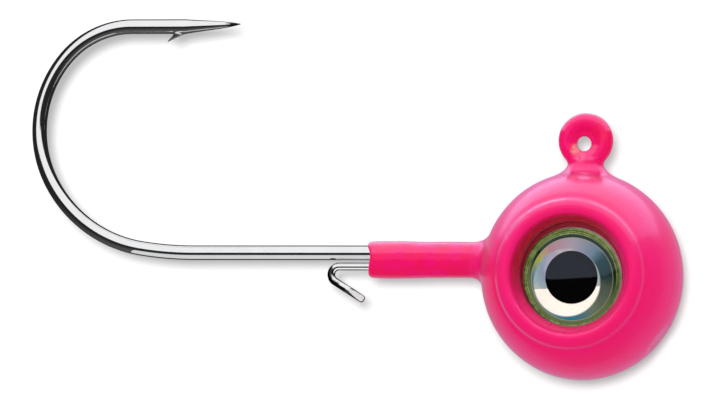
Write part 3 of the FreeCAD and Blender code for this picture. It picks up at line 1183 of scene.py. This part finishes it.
def make_world():
    """Mirrors see a white tent over a dark room, paint an even light, the camera plain white."""
    world = bpy.data.worlds.new("studio")
    bpy.context.scene.world = world
    world.use_nodes = True
    tree = world.node_tree
    path = add(tree, "ShaderNodeLightPath")
    background = tree.nodes["Background"]
    place = add(tree, "ShaderNodeTexCoord")
    ray = place.outputs["Generated"]
    up = direction_part(tree, ray, UP)
    right = direction_part(tree, ray, RIGHT)
    front = direction_part(tree, ray, TO_CAMERA)
    level = maths(tree, "ADD", product(tree, right, 0.06), 0.05)
    upper = mask(tree, maths(tree, "SUBTRACT", up, level), -0.012, 0.012)
    cap = weigh(tree, (right, -0.19), (up, 0.952), (front, 0.583))
    in_cap = mask(tree, cap, 0.52, 0.56)
    swing = weigh(tree, (right, 0.643), (up, 0.55), (front, 0.766))
    near = mask(tree, swing, -0.03, 0.03)
    white = product(tree, upper, near, product(tree, in_cap, TENT_WHITE))
    floor_glow = span(tree, up, -0.25, -1.0, 0.0, 0.10)
    low = maths(tree, "MAXIMUM", floor_glow, ROOM_DARK)
    mirror = maths(tree, "MAXIMUM", white, low)
    soft = span(tree, up, -1.0, 0.8, 0.90, 1.06, smooth=True)
    soft = product(tree, soft, span(tree, path.outputs["Is Transmission Ray"], 0, 1, 1.0, 1.25))
    scattered = maths(tree, "MAXIMUM", path.outputs["Is Diffuse Ray"], path.outputs["Is Transmission Ray"])
    by_diffuse = blend_colour(tree, scattered, mirror, soft)
    shown = blend_colour(tree, path.outputs["Is Camera Ray"], by_diffuse, (1.0, 1.0, 1.0))
    tree.links.new(shown, background.inputs["Color"])
    background.inputs["Strength"].default_value = 1.0
    world.cycles.sampling_method = "NONE"


def add_sun(name, energy, angle, towards):
    """A distant lamp shining from a direction. It leaves no highlight of its own."""
    data = bpy.data.lights.new(name, "SUN")
    data.energy = energy
    data.angle = math.radians(angle)
    lamp = bpy.data.objects.new(name, data)
    lamp.rotation_mode = "QUATERNION"
    lamp.rotation_quaternion = towards.to_track_quat("Z", "Y")
    lamp.visible_glossy = False
    bpy.context.scene.collection.objects.link(lamp)
    return lamp


def make_suns(backdrop):
    """A soft key light on the part, and a lamp that only throws its shadow on the backdrop."""
    add_sun("key", 0.35, 40, TO_CAMERA + UP * 0.9 - RIGHT * 0.35)
    shade = add_sun("shade", 12.0, 9, TO_CAMERA + UP * 0.080 - RIGHT * 0.064)
    linked(shade, backdrop)


def add_panel(name, centre, size, radiance, colour, turn):
    """A flat lamp that only shows in glossy surfaces. It faces down, turned about X by an angle."""
    data = bpy.data.lights.new(name, "AREA")
    data.shape = "RECTANGLE"
    data.size, data.size_y = (side * MM for side in size)
    data.energy = radiance * math.pi * data.size * data.size_y
    data.color = colour
    panel = bpy.data.objects.new(name, data)
    panel.location = [c * MM for c in centre]
    panel.rotation_euler = (math.radians(turn), 0, 0)
    panel.visible_camera = False
    panel.visible_diffuse = False
    panel.visible_transmission = False
    bpy.context.scene.collection.objects.link(panel)
    return panel


def linked(lamp, *pieces):
    """Makes a lamp shine on these pieces only."""
    lit = bpy.data.collections.new("lit_by_" + lamp.name)
    for piece in pieces:
        lit.objects.link(piece)
    lamp.light_linking.receiver_collection = lit


def make_panels(steel, keeper, head, foils):
    """Cards under the wires, softboxes that only the paint shows, and a lamp for the foils."""
    run_z = KEEPER_HIGH[2] - KEEPER
    card = add_panel("card", (-18.75, -1.3, SHANK_Z - 2.5), (21.5, 4.0), 0.62, (1, 1, 1), 180)
    linked(card, steel)
    small = add_panel("small_card", (-11.7, -1.75, run_z - 3.2), (9.4, 3.7), 0.85, (1, 1, 1), 180)
    linked(small, keeper)
    for name, centre, size, radiance, turn in SOFTBOXES:
        linked(add_panel(name, centre, size, radiance, SOFTBOX_COLOUR, turn), head)
    linked(add_sun("eye_lamp", 1.5, 10, TO_CAMERA + UP * 0.5), *foils)
    linked(add_sun("far_eye_lamp", 1.5, 10, -TO_CAMERA + UP * 0.5), *foils)


SOFTBOX_COLOUR = (0.28, 0.66, 0.96)
SOFTBOXES = (
    ("softbox_above", (BALL_X - 25, 7, BALL_Z + 70), (280, 165), 4.6, 0),
    ("softbox_behind", (BALL_X, 60, BALL_Z + 10), (260, 260), 0.75, -90),
)


BACKDROP_GAP = 0.3
BACKDROP_HALF = 600
PAPER = 0.15
PAPER_GLOW = 0.35


def backdrop_paper():
    """White paper that glows a little, and is clear from its back."""
    material = bpy.data.materials.new("backdrop")
    material.use_nodes = True
    tree = material.node_tree
    tree.nodes.remove(tree.nodes["Principled BSDF"])
    output = tree.nodes["Material Output"]
    paper = add(tree, "ShaderNodeBsdfDiffuse", Color=(PAPER, PAPER, PAPER, 1))
    glow = add(tree, "ShaderNodeEmission", Color=(1, 1, 1, 1), Strength=PAPER_GLOW)
    both = add(tree, "ShaderNodeAddShader")
    clear = add(tree, "ShaderNodeBsdfTransparent")
    facing = add(tree, "ShaderNodeNewGeometry")
    one_sided = add(tree, "ShaderNodeMixShader")
    tree.links.new(paper.outputs[0], both.inputs[0])
    tree.links.new(glow.outputs[0], both.inputs[1])
    tree.links.new(facing.outputs["Backfacing"], one_sided.inputs["Fac"])
    tree.links.new(both.outputs[0], one_sided.inputs[1])
    tree.links.new(clear.outputs[0], one_sided.inputs[2])
    tree.links.new(one_sided.outputs[0], output.inputs["Surface"])
    return material


def make_backdrop():
    """A plain pale surface behind the part, which is clear from its back."""
    back = COAT_HIGH[1] + BACKDROP_GAP
    half = BACKDROP_HALF
    corners = [(a * half * MM, back * MM, b * half * MM) for a, b in ((-1, -1), (1, -1), (1, 1), (-1, 1))]
    mesh = bpy.data.meshes.new("backdrop")
    mesh.from_pydata(corners, [], [(0, 1, 2, 3)])
    backdrop = bpy.data.objects.new("backdrop", mesh)
    bpy.context.scene.collection.objects.link(backdrop)
    mesh.materials.append(backdrop_paper())
    backdrop.visible_diffuse = False
    backdrop.visible_glossy = False
    backdrop.visible_transmission = False
    backdrop.visible_shadow = False
    return backdrop


make_camera()
make_world()
make_panels(HOOK, KEEPER_PIECE, PAINTED, FOILS)
make_suns(make_backdrop())
bpy.context.scene.view_settings.view_transform = "Standard"
